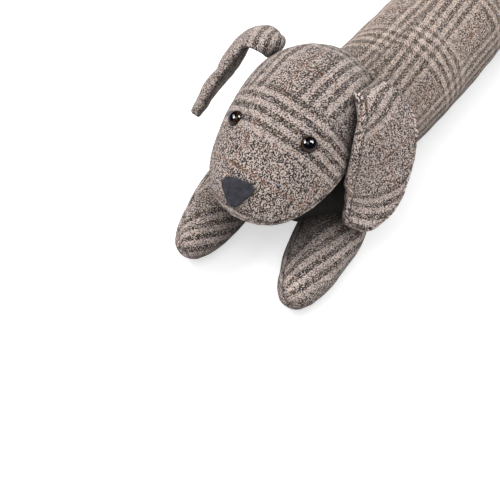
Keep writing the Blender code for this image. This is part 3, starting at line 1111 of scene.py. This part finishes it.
@dataclass
class Flap:
    """Padded leaf of two faces, sewn round its edge, from a table of its stations.

    The columns of a row are the centre's x, y and z, the width direction's x, y and z, and the
    width. The bands end at the share plain_from of the length.
    """

    node: str
    stations: tuple[tuple[float, ...], ...]
    lays: tuple[Lay, Lay]
    thickness: float = 0.0130
    camber: float = 0.0040
    bluntness: float = 7.0
    squareness: float = 2.5
    rounding: tuple[float, float] = (0.06, 0.05)
    seam_rise: tuple[float, float] = (0.0, 0.0)
    plain_from: float = 2.0
    fill: float = 0.5
    rows: int = 53
    columns: int = 45
    seam: Seam = Seam(depth=0.0036, width=0.0024, pucker=0.0005, pucker_length=0.011,
                      pucker_reach=0.007, lumps=0.0006, lump_length=0.045)
    seed: int = 31

    def panel(self, face: Face, lay: Lay) -> Panel:
        """One face of the leaf.

        With turn p round the section, c = cos(p)^(2/q) and r = sin(p)^(2/q), a point lies at
        centre(u) + side * width(u) * c / 2 + normal * (thickness(u) * r / 2 - camber * c^2). The
        width is rounded off by a quarter ellipse at each end, and the thickness is its full value
        times (1 - |2u - 1|^bluntness)^0.5, less where the leaf is narrow. The seam lies at its own
        turn on each edge, so that one face can wrap round the edge to meet the other.

        Args:
            face: Upper or under face.
            lay: How the panel was cut.

        Returns:
            The panel.
        """
        table = np.array(self.stations)
        even = np.linspace(0.0, 1.0, self.rows)
        share = 0.35 * even + 0.65 * (0.5 - 0.5 * np.cos(HALF_TURN * even))
        rear, front = np.radians(self.seam_rise)
        first, last = ((rear, HALF_TURN - front) if face is Face.TOP
                       else (HALF_TURN - front, 2.0 * HALF_TURN + rear))
        even = np.linspace(0.0, 1.0, self.columns)
        sweep = first + (last - first) * (even - 0.11 * np.sin(2.0 * HALF_TURN * even))
        along, sweep = np.meshgrid(share, sweep, indexing="ij")
        row = smooth_rows(table, along)
        ahead = smooth_rows(table, np.clip(along + 0.02, 0.0, 1.0))[..., :3]
        behind = smooth_rows(table, np.clip(along - 0.02, 0.0, 1.0))[..., :3]
        heading = unit(ahead - behind)
        side = row[..., 3:6]
        side = unit(side - heading * (side * heading).sum(axis=-1, keepdims=True))
        normal = np.cross(side, heading)
        across = signed_power(np.cos(sweep), 2.0 / self.squareness)
        level = signed_power(np.sin(sweep), 2.0 / self.squareness)
        base, tip = self.rounding
        width = row[..., 6]
        for beyond in ((base - along) / base, (along - 1.0 + tip) / tip):
            width = width * np.sqrt(1.0 - np.clip(beyond, 0.0, 1.0) ** 2)
        far = np.abs(2.0 * along - 1.0)
        thick = self.thickness * np.clip(1.0 - far ** self.bluntness, 0.0, 1.0) ** 0.5
        thick = thick * np.minimum(1.0, width / 0.009)
        rise = 0.5 * thick * level - self.camber * across ** 2 * np.minimum(1.0, width / 0.012)
        points = row[..., :3] + side * (0.5 * width * across)[..., None] + normal * rise[..., None]
        from_low = arc_length(points, 1)
        distance = np.minimum(from_low, from_low[:, -1:] - from_low)
        middle = self.columns // 2
        run = arc_length(points[:, middle:middle + 1], 0) + 0.0 * along
        flat = np.stack([run, from_low - 0.5 * from_low[:, -1:]], axis=-1)
        inward = -unit(side * (width * across)[..., None] + normal * (thick * level)[..., None])
        points = self.seam.press(points, distance, run, inward, self.seed)
        kept = np.array(lay.bands) * (along < self.plain_from)[..., None]
        return Panel(points, lay.on_cloth(flat), bell(distance, 0.0022), kept)

    def build(self) -> bpy.types.Object:
        """Sew, swell and settle the leaf."""
        panels = [self.panel(face, lay) for face, lay in zip(Face, self.lays)]
        return make_up(f"padded_{self.node}", self.node, panels, Tweed(f"{self.node} check tweed"),
                       Stuffing(cap=0.0014, shrink=0.05))


@dataclass
class Paw:
    """Stuffed front paw of two panels, with a seam that runs from heel to toe on each flank."""

    node: str
    heel: tuple[float, float]
    toe: tuple[float, float]
    lays: tuple[Lay, Lay]
    heel_width: float = 0.073
    toe_width: float = 0.047
    height: float = 0.049
    sag: float = 0.0020
    seam_turns: tuple[float, float] = (130.0, -50.0)
    seam: Seam = Seam(depth=0.0016, width=0.0018, pucker=0.0005, pucker_length=0.011,
                      pucker_reach=0.009, lumps=0.0006, lump_length=0.045)
    seed: int = 41

    def panel(self, first: float, last: float, lay: Lay) -> Panel:
        """Panel of the loaf between two turns round its axis, in degrees.

        With angle a from the heel and turn b from the top, a point lies at length * (1 -
        cos(a)^0.75) / 2 along the axis, width * sin(a)^0.62 * sin(b)^0.9 / 2 aside and middle +
        (height - middle) * sin(a)^0.62 * cos(b)^0.9 up, never under the floor. On the flat cloth
        U is the length along the panel's middle, and V is the way round from it.

        Args:
            first: Turn of the panel's first edge.
            last: Turn of its last edge.
            lay: How the panel was cut.

        Returns:
            The panel.
        """
        heel, toe = np.array([*self.heel, 0.0]), np.array([*self.toe, 0.0])
        length = float(np.linalg.norm(toe - heel))
        heading = (toe - heel) / length
        side = np.cross(UP, heading)
        share = np.linspace(0.0, 1.0, 41)
        share = share - 0.55 * np.sin(2.0 * HALF_TURN * share) / (2.0 * HALF_TURN)
        angle, turn = np.meshgrid(HALF_TURN * share, np.radians(first + (last - first) * share),
                                  indexing="ij")
        along = 0.5 - 0.5 * signed_power(np.cos(angle), 0.75)
        girth = np.clip(np.sin(angle), 0.0, 1.0) ** 0.62
        width = self.heel_width + (self.toe_width - self.heel_width) * along
        spread = 0.5 * width * girth * signed_power(np.sin(turn), 0.9)
        middle = 0.5 * self.height - self.sag
        rise = middle + (self.height - middle) * girth * signed_power(np.cos(turn), 0.9)
        points = (heel + heading * (length * along)[..., None] + side * spread[..., None]
                  + UP * rise[..., None])
        size = 0.5 * (0.5 * width + 0.5 * self.height) * girth
        away = np.abs(turn - math.radians(first))
        distance = size * np.minimum(away, abs(math.radians(last - first)) - away)
        inward = -(side * np.sin(turn)[..., None] + UP * np.cos(turn)[..., None])
        run = arc_length(points[:, 20:21], 0) + 0.0 * turn
        across = size * (turn - math.radians(0.5 * (first + last)))
        flat = np.stack([run - 0.5 * run[-1, 0], across], axis=-1)
        points = self.seam.press(points, distance, run, inward, self.seed)
        points[..., 2] = np.maximum(points[..., 2], 0.0)
        return Panel(points, lay.on_cloth(flat), bell(distance, 0.0028), lay.bands)

    def build(self) -> bpy.types.Object:
        """Sew, swell and settle the paw."""
        first, last = self.seam_turns
        panels = [self.panel(first, last, self.lays[0]),
                  self.panel(first, last + 360.0, self.lays[1])]
        return make_up(f"stuffed_{self.node}", self.node, panels, Tweed(f"{self.node} check tweed"),
                       Stuffing(cap=0.0018))


@dataclass
class HindLeg:
    """Flat padded teardrop on the floor beside the rump, sewn in at its narrow end."""

    side: Side
    lays: tuple[Lay, Lay]
    heel: tuple[float, float] = (0.384, 0.050)
    toe: tuple[float, float] = (0.257, 0.078)
    width: float = 0.062
    thickness: float = 0.026
    sag: float = 0.0015
    seam: Seam = Seam(depth=0.0016, width=0.0018, pucker=0.0005, pucker_length=0.012,
                      pucker_reach=0.008, lumps=0.0006, lump_length=0.045)

    def panel(self, face: Face, lay: Lay) -> Panel:
        """Upper or under face of the teardrop.

        With latitude l and turn t, a point lies at length * (1 + cos(l) * cos(t)) / 2 along,
        width * cos(l) * sin(t) * (0.62 + 0.5 along) / 2 aside and thickness / 2 * (1 + sin(l))
        up, never under the floor.

        Args:
            face: Upper or under face.
            lay: How the panel was cut.

        Returns:
            The panel.
        """
        heel = np.array([self.heel[0], self.side.value * self.heel[1], 0.0])
        toe = np.array([self.toe[0], self.side.value * self.toe[1], 0.0])
        length = float(np.linalg.norm(toe - heel))
        heading = (toe - heel) / length
        aside = np.cross(UP, heading)
        latitude, turn = meridians(25, 1.4, 97)
        reach = np.cos(latitude)
        along = 0.5 + 0.5 * reach * np.cos(turn)
        spread = 0.5 * self.width * reach * np.sin(turn) * (0.62 + 0.5 * along)
        rise = 0.5 * self.thickness * (1.0 + face.value * np.sin(latitude) ** 0.85) - self.sag
        points = (heel + heading * (length * along)[..., None] + aside * spread[..., None]
                  + UP * rise[..., None])
        from_middle = arc_length(points[::-1], 0)[::-1]
        distance = from_middle[:1] - from_middle
        flat = np.stack([length * (along - 0.5) * 1.06, spread * 1.08], axis=-1)
        run = arc_length(points[:1], 1) + 0.0 * turn
        centre = heel + heading * 0.5 * length + UP * (0.5 * self.thickness - self.sag)
        inward = unit(centre - points[:1]) + np.zeros_like(points)
        points = self.seam.press(points, distance, run, inward, 51)
        points[..., 2] = np.maximum(points[..., 2], 0.0)
        return Panel(points, lay.on_cloth(flat), bell(distance, 0.0025))

    def build(self) -> bpy.types.Object:
        """Sew, swell and settle the hind leg."""
        node = f"hind_leg_{self.side.name.lower()}"
        panels = [self.panel(face, lay) for face, lay in zip(Face, self.lays)]
        return make_up(f"padded_{node}", node, panels, Tweed(f"{node} check tweed"),
                       Stuffing(cap=0.0014))


@dataclass
class Eye:
    """Domed plastic toy eye seated on the head's top panel."""

    side: Side
    head: Head
    diameter: float = 0.0150
    height: float = 0.0062
    forward: float = 0.026
    aside: float = 0.037

    def build(self) -> bpy.types.Object:
        """Turn the dome's profile about the head's normal, and settle the eye.

        The profile is a quarter ellipse from the middle to the rim, a short collar, and a flat
        back inside the head.

        Returns:
            The eye.
        """
        word = self.side.name.lower()
        ahead, aside = np.array(self.forward), np.array(-self.side.value * self.aside)
        seat, normal = self.head.surface(ahead, aside), self.head.normal(ahead, aside)
        first = unit(np.cross(normal, [0.0, 0.0, 1.0]))
        second = np.cross(normal, first)
        angle = 0.5 * HALF_TURN * np.linspace(0.0, 1.0, 25)
        radius = 0.5 * self.diameter
        out = np.concatenate([radius * np.sin(angle), radius * np.array([0.985, 0.90, 0.5, 0.0])])
        up = np.concatenate([self.height * np.cos(angle), [-0.0008, -0.0016, -0.0018, -0.0018]])
        reach, turn = np.meshgrid(out, np.linspace(0.0, 2.0 * HALF_TURN, 49), indexing="ij")
        turn[:, -1] = 0.0
        lift = up[:, None] + 0.0 * reach
        points = (seat + first * (reach * np.cos(turn))[..., None]
                  + second * (reach * np.sin(turn))[..., None] + normal * lift[..., None])
        flat = np.stack([reach * np.cos(turn), reach * np.sin(turn)], axis=-1)
        gloss = EyeGloss(f"eye {word} amber gloss", radius).material()
        piece = sew(f"domed_eye_{word}", [Panel(points, flat, np.zeros_like(reach))], gloss)
        settle(piece, f"eye_{word}")
        return piece


@dataclass
class Nose:
    """Rounded triangle cut from felt and laid on the muzzle, point downwards."""

    head: Head
    forward: float = 0.085
    aside: float = -0.006
    turn: float = 0.0
    width: float = 0.030
    length: float = 0.0245
    felt: float = 0.0020
    gap: float = 0.0004

    def outline(self, turn: Array) -> Array:
        """Reach of the cut edge: 1 + 0.19 cos(3t) + 0.02 cos(6t)."""
        return 1.0 + 0.19 * np.cos(3.0 * turn) + 0.02 * np.cos(6.0 * turn)

    def build(self) -> bpy.types.Object:
        """Walk the outline over the muzzle, give the felt its thickness and settle the nose.

        Both faces follow the head's surface, and their shared edge is softly rounded.

        Returns:
            The nose.
        """
        share = np.concatenate([np.linspace(0.0, 0.90, 16), [0.95, 0.985, 1.0]])
        level = np.sqrt(np.clip(1.0 - np.clip((share - 0.90) / 0.10, 0.0, 1.0) ** 2, 0.0, 1.0))
        reach, turn = np.meshgrid(share, np.linspace(0.0, 2.0 * HALF_TURN, 97), indexing="ij")
        turn[:, -1] = 0.0
        size = reach * self.outline(turn)
        aim = turn + math.radians(self.turn)
        down, left = 0.5 * self.length * size * np.cos(aim), 0.5 * self.width * size * np.sin(aim)
        ahead, aside = self.head.walk(self.forward, self.aside, down, left)
        place, normal = self.head.surface(ahead, aside), self.head.normal(ahead, aside)
        panels = []
        for face in Face:
            lift = self.gap + 0.5 * self.felt * (1.0 + face.value * level[:, None] + 0.0 * reach)
            points = place + normal * lift[..., None]
            panels.append(Panel(points, np.stack([down, left], axis=-1), np.zeros_like(reach)))
        piece = sew("felt_nose", panels, Felt("black nose felt").material())
        settle(piece, "nose")
        return piece


# Studio


@dataclass(frozen=True)
class Softbox:
    """Rectangular area light that faces a point, and may show in reflections alone."""

    name: str
    place: Point
    aim: Point
    size: tuple[float, float]
    power: float
    shine_only: bool = False

    def build(self) -> None:
        """Add the light, with its power in watts."""
        data = bpy.data.lights.new(self.name, "AREA")
        data.shape = "RECTANGLE"
        data.size, data.size_y = self.size
        data.energy = self.power
        item = place_item(self.name, data, self.place, Vector(self.aim) - Vector(self.place))
        item.visible_diffuse = not self.shine_only


def place_item(name: str, data: bpy.types.ID, place: Point, heading: Vector) -> bpy.types.Object:
    """Add a light or a camera that looks along a heading.

    Args:
        name: Name of the object.
        data: Light or camera.
        place: Its place.
        heading: The way that it looks.

    Returns:
        The object.
    """
    item = bpy.data.objects.new(name, data)
    item.location = place
    item.rotation_mode = "QUATERNION"
    item.rotation_quaternion = heading.to_track_quat("-Z", "Y")
    bpy.context.scene.collection.objects.link(item)
    return item


DOG = (-0.25, 0.0, 0.08)
EYES = (-0.357, 0.0, 0.140)


@dataclass
class Studio:
    """Plain white floor, soft light and the camera."""

    camera_place: Point = (-0.9188, -0.3966, 0.8549)
    azimuth: float = -52.5
    elevation: float = 52.0
    lens: float = 82.8
    sky: float = 0.74
    floor_shades: tuple[float, float] = (0.745, 0.755)
    floor_lift: float = 0.56
    softboxes: tuple[Softbox, ...] = (
        Softbox("key softbox", (-0.63, 1.44, 1.49), DOG, (0.50, 0.70), 15.0),
        Softbox("back softbox", (0.98, -0.67, 1.49), DOG, (0.30, 0.50), 4.0),
        Softbox("top softbox", (-1.10, -0.25, 1.95), DOG, (0.9, 0.9), 7.0),
        Softbox("left catch light", (-0.81, 0.456, 0.89), EYES, (0.38, 0.42), 17.0, True),
        Softbox("right catch light", (-0.02, -0.50, 0.94), EYES, (0.28, 0.62), 19.0, True))

    def camera(self) -> None:
        """Add the camera, turned to its azimuth and elevation."""
        turn, rise = math.radians(self.azimuth), math.radians(self.elevation)
        back = Vector((math.sin(turn) * math.cos(rise), -math.cos(turn) * math.cos(rise),
                       math.sin(rise)))
        data = bpy.data.cameras.new("camera")
        data.lens = self.lens
        data.sensor_width = 36.0
        bpy.context.scene.camera = place_item("camera", data, self.camera_place, -back)

    def floor(self) -> None:
        """Add the plain white floor as a wide grid just under the object.

        To the camera alone it is lifted to the white of a studio sweep.
        """
        lines = np.linspace(-6.0, 6.0, 13)
        along, across = np.meshgrid(lines, lines, indexing="ij")
        points = np.stack([along, across, np.full_like(along, -0.0004)], axis=-1)
        material, wires, shader = new_material("white studio floor")
        haze = wires.noise(wires.node("TexCoord", result="Object"), 1.3)
        seen = wires.node("LightPath", result="Is Camera Ray")
        wires.feed(shader, {
            "Base Color": wires.mix(haze, *((shade,) * 3 + (1.0,) for shade in self.floor_shades)),
            "Roughness": 0.9, "Specular IOR Level": 0.0, "Emission Color": (1.0, 1.0, 1.0, 1.0),
            "Emission Strength": self.floor_lift * seen})
        mesh = bpy.data.meshes.new("studio_floor")
        mesh.from_pydata(points.reshape(-1, 3).tolist(), [], quads_of(13, 13).tolist())
        mesh.materials.append(material)
        item = bpy.data.objects.new("studio_floor", mesh)
        bpy.context.scene.collection.objects.link(item)

    def build(self) -> None:
        """Set up floor, light, sky and camera."""
        scene = bpy.context.scene
        scene.view_settings.view_transform = "Standard"
        world = bpy.data.worlds.new("studio light")
        scene.world = world
        world.use_nodes = True
        world.node_tree.nodes["Background"].inputs["Color"].default_value = (1.0, 1.0, 1.0, 1.0)
        world.node_tree.nodes["Background"].inputs["Strength"].default_value = self.sky
        world.cycles_visibility.glossy = False
        self.floor()
        for softbox in self.softboxes:
            softbox.build()
        self.camera()


EAR_LEFT_STATIONS = (
    (-0.2593, -0.0214, 0.1314, 0.99, -0.13, -0.08, 0.025),
    (-0.2721, -0.0406, 0.1404, 0.96, -0.17, -0.24, 0.050),
    (-0.2830, -0.0571, 0.1252, 0.86, -0.35, -0.37, 0.073),
    (-0.2951, -0.0650, 0.1064, 0.81, -0.37, -0.45, 0.082),
    (-0.3064, -0.0696, 0.0869, 0.81, -0.41, -0.42, 0.077),
    (-0.3192, -0.0721, 0.0718, 0.78, -0.47, -0.41, 0.069),
    (-0.3330, -0.0708, 0.0624, 0.74, -0.55, -0.40, 0.050),
    (-0.3456, -0.0691, 0.0588, 0.73, -0.53, -0.44, 0.027),
    (-0.3506, -0.0692, 0.0584, 0.68, -0.58, -0.45, 0.007),
)
EAR_RIGHT_STATIONS = (
    (-0.2626, 0.0690, 0.1282, 0.95, -0.29, 0.15, 0.028),
    (-0.2634, 0.0820, 0.1339, 0.99, 0.04, -0.15, 0.035),
    (-0.2603, 0.0990, 0.1297, 0.88, 0.27, -0.38, 0.050),
    (-0.2641, 0.1129, 0.1155, 0.80, 0.36, -0.48, 0.063),
    (-0.2720, 0.1213, 0.0964, 0.72, 0.36, -0.59, 0.068),
    (-0.2807, 0.1263, 0.0810, 0.69, 0.36, -0.63, 0.067),
    (-0.2891, 0.1313, 0.0667, 0.67, 0.38, -0.64, 0.061),
    (-0.2989, 0.1359, 0.0539, 0.64, 0.40, -0.65, 0.048),
    (-0.3076, 0.1388, 0.0442, 0.64, 0.39, -0.67, 0.029),
    (-0.3142, 0.1396, 0.0405, 0.64, 0.37, -0.67, 0.012),
)
TAIL_STATIONS = (
    (0.3720, 0.0010, 0.1180, 0.60, 0.00, 0.80, 0.024),
    (0.3560, 0.0050, 0.1350, 0.50, 0.00, 0.86, 0.034),
    (0.3340, 0.0120, 0.1450, 0.30, -0.05, 0.95, 0.035),
    (0.3070, 0.0200, 0.1490, 0.15, -0.10, 0.98, 0.030),
    (0.2790, 0.0250, 0.1460, 0.10, -0.10, 1.00, 0.012),
)


def main() -> None:
    """Build the studio and then every piece of the draught excluder, in a maker's order."""
    logging.basicConfig(level=logging.INFO, format="%(message)s")
    Studio().build()
    head = Head()
    Body().build()
    head.build()
    Flap("ear_left", EAR_LEFT_STATIONS, (Lay(0.05, 0.0, bands=NO_BANDS),
                                         Lay(0.029, 0.0, turn=-34.0, bands=CROSSWISE)),
         seam_rise=(-24.0, -40.0)).build()
    Flap("ear_right", EAR_RIGHT_STATIONS, (Lay(0.020, 0.0, turn=-25.0, bands=CROSSWISE),
                                           Lay(0.08, 0.0, bands=LENGTHWISE)),
         seam_rise=(0.0, -32.0), plain_from=0.5, seed=33).build()
    Paw("paw_left", (-0.298, -0.038), (-0.429, -0.065),
        (Lay(0.0227, -0.0076, turn=17.0, bands=LENGTHWISE),
         Lay(0.0, 0.030, turn=-10.0, bands=LENGTHWISE))).build()
    Paw("paw_right", (-0.306, 0.063), (-0.441, 0.045),
        (Lay(0.058, -0.005, turn=34.0, bands=LENGTHWISE),
         Lay(0.0, 0.030, turn=-14.0, bands=LENGTHWISE)), seed=43).build()
    for side in Side:
        HindLeg(side, (Lay(0.0, 0.0, turn=-8.0 * side.value), Lay(0.03, 0.0))).build()
    Flap("tail", TAIL_STATIONS, (Lay(0.05, 0.0, turn=20.0), Lay(0.02, 0.0)),
         thickness=0.0100, camber=0.0, bluntness=3.0, rounding=(0.08, 0.12), fill=0.45,
         seed=61).build()
    for side in Side:
        Eye(side, head).build()
    Nose(head).build()


if __name__ == "__main__":
    main()
